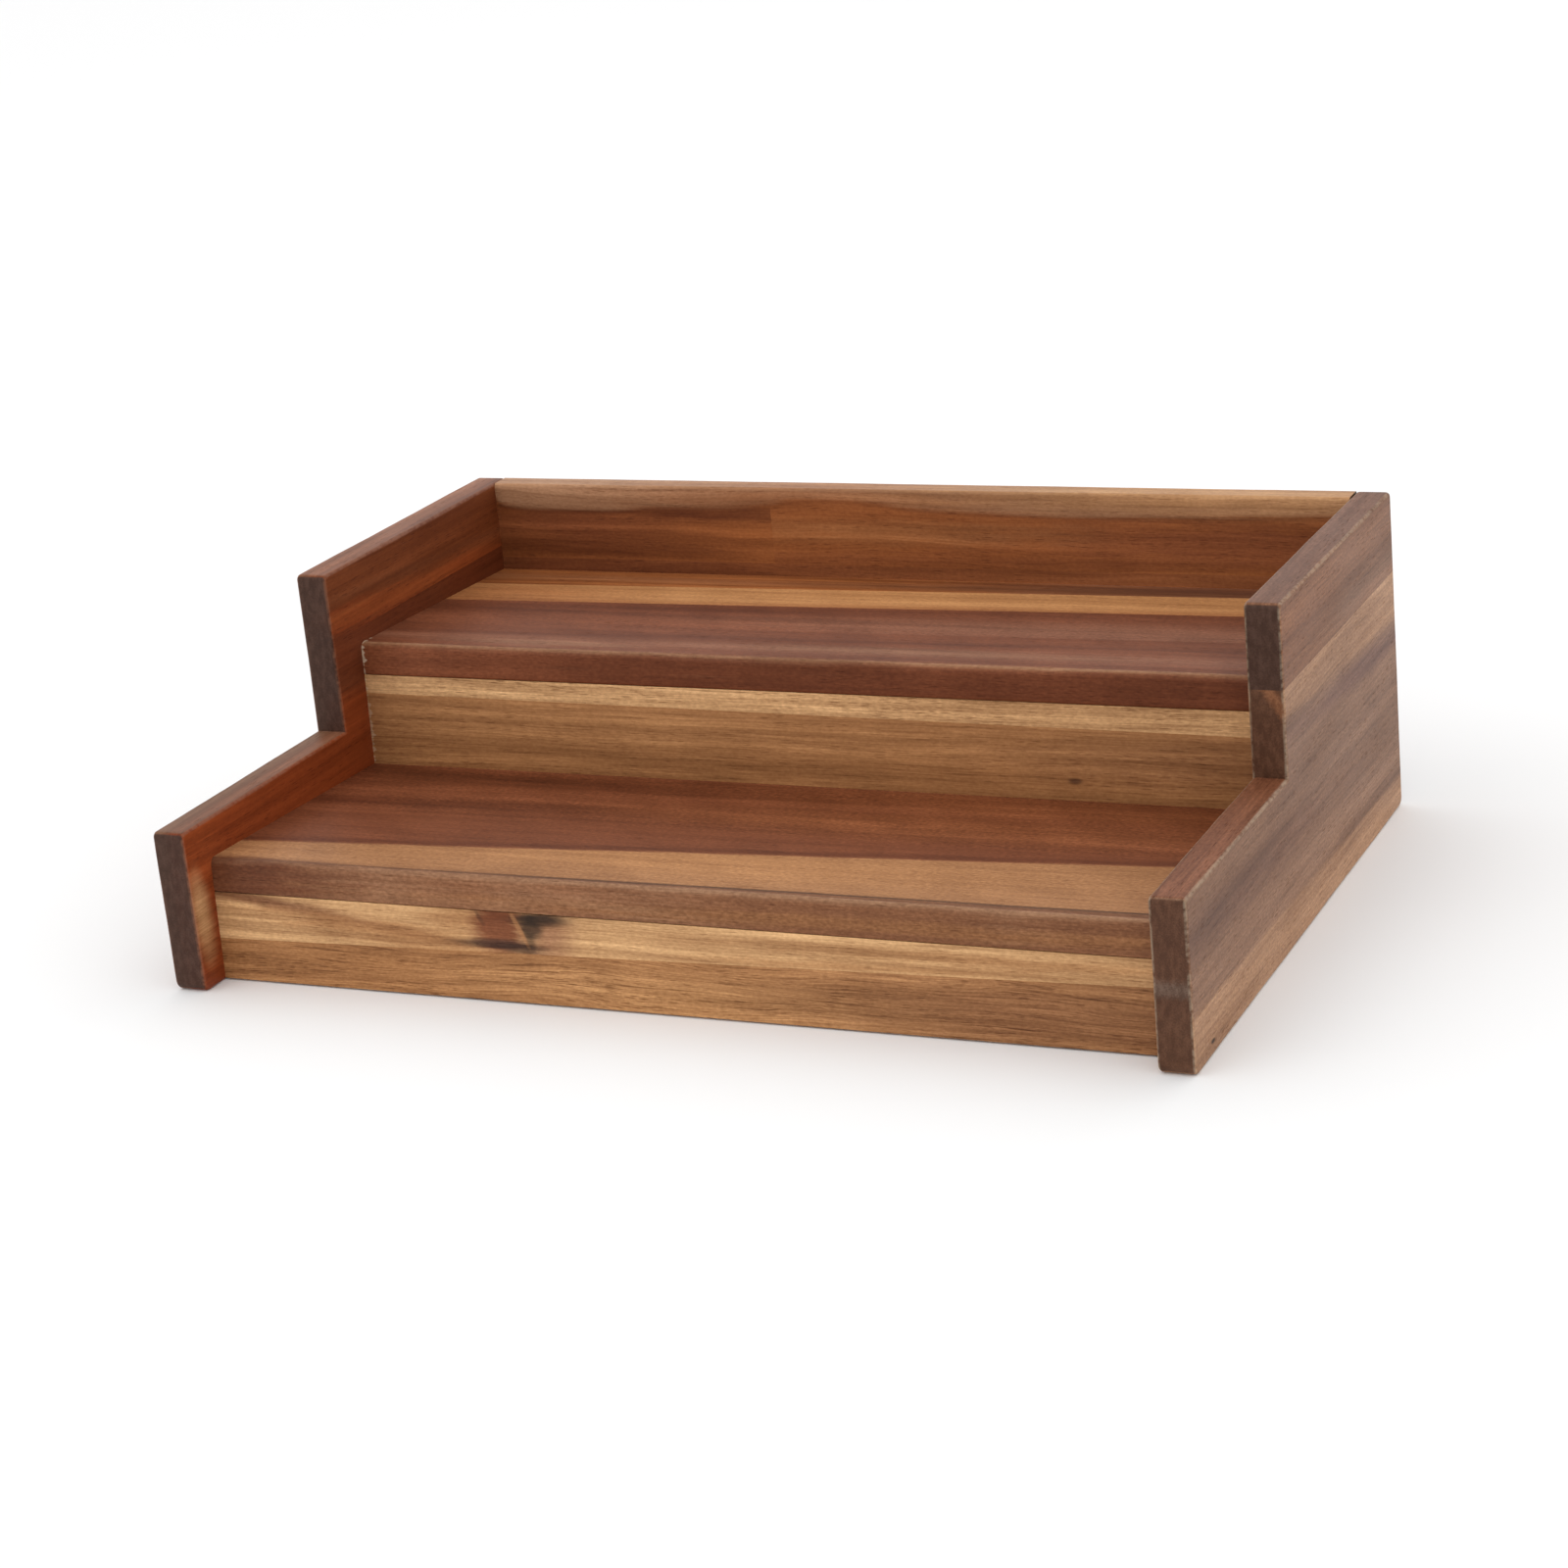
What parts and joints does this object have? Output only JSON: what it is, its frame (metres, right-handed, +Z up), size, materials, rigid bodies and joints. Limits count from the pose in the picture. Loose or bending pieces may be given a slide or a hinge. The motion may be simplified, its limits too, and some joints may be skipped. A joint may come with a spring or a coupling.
{
  "type": "tiered display riser",
  "caption": "Stepped wooden counter-top display riser with lower and upper trays between stepped side panels, closed risers in front and a low back rail.",
  "frame": {"origin": "on the floor, under the middle of the overall box", "axes": "+X along the front from left to right, +Y from the front to the back, +Z up"},
  "size_m": [0.36, 0.246, 0.115],
  "materials": {
    "acacia_red": "satin oil over dark red-brown heartwood",
    "acacia_grey": "satin oil over grey-brown heartwood",
    "acacia_tan": "satin oil over tan wood",
    "acacia_cream": "satin oil over cream sapwood",
    "acacia_golden": "satin oil over golden brown wood",
    "dowel_wood": "raw turned hardwood"
  },
  "bodies": {
    "root": {"left_side_bottom_stave": "acacia_red", "left_side_middle_stave": "acacia_red", "left_side_top_stave": "acacia_red", "right_side_bottom_stave": "acacia_grey", "right_side_middle_stave": "acacia_grey", "right_side_top_stave": "acacia_grey", "lower_shelf_front_stave": "acacia_tan", "lower_shelf_middle_stave": "acacia_red", "lower_shelf_rear_stave": "acacia_red", "lower_riser_bottom_stave": "acacia_golden", "lower_riser_top_stave": "acacia_cream", "upper_riser_bottom_stave": "acacia_golden", "upper_riser_top_stave": "acacia_cream", "upper_shelf_front_stave": "acacia_red", "upper_shelf_second_stave": "acacia_red", "upper_shelf_third_stave": "acacia_tan", "upper_shelf_rear_stave": "acacia_golden", "back_bottom_stave": "acacia_red", "back_top_left_stave": "acacia_red", "back_top_right_stave": "acacia_red", "left_lower_riser_dowel": "dowel_wood", "left_lower_shelf_front_dowel": "dowel_wood", "left_lower_shelf_rear_dowel": "dowel_wood", "left_upper_riser_dowel": "dowel_wood", "left_upper_shelf_front_dowel": "dowel_wood", "left_upper_shelf_rear_dowel": "dowel_wood", "left_back_upper_dowel": "dowel_wood", "left_back_lower_dowel": "dowel_wood", "right_lower_riser_dowel": "dowel_wood", "right_lower_shelf_front_dowel": "dowel_wood", "right_lower_shelf_rear_dowel": "dowel_wood", "right_upper_riser_dowel": "dowel_wood", "right_upper_shelf_front_dowel": "dowel_wood", "right_upper_shelf_rear_dowel": "dowel_wood", "right_back_upper_dowel": "dowel_wood", "right_back_lower_dowel": "dowel_wood"}
  },
  "joints": []
}
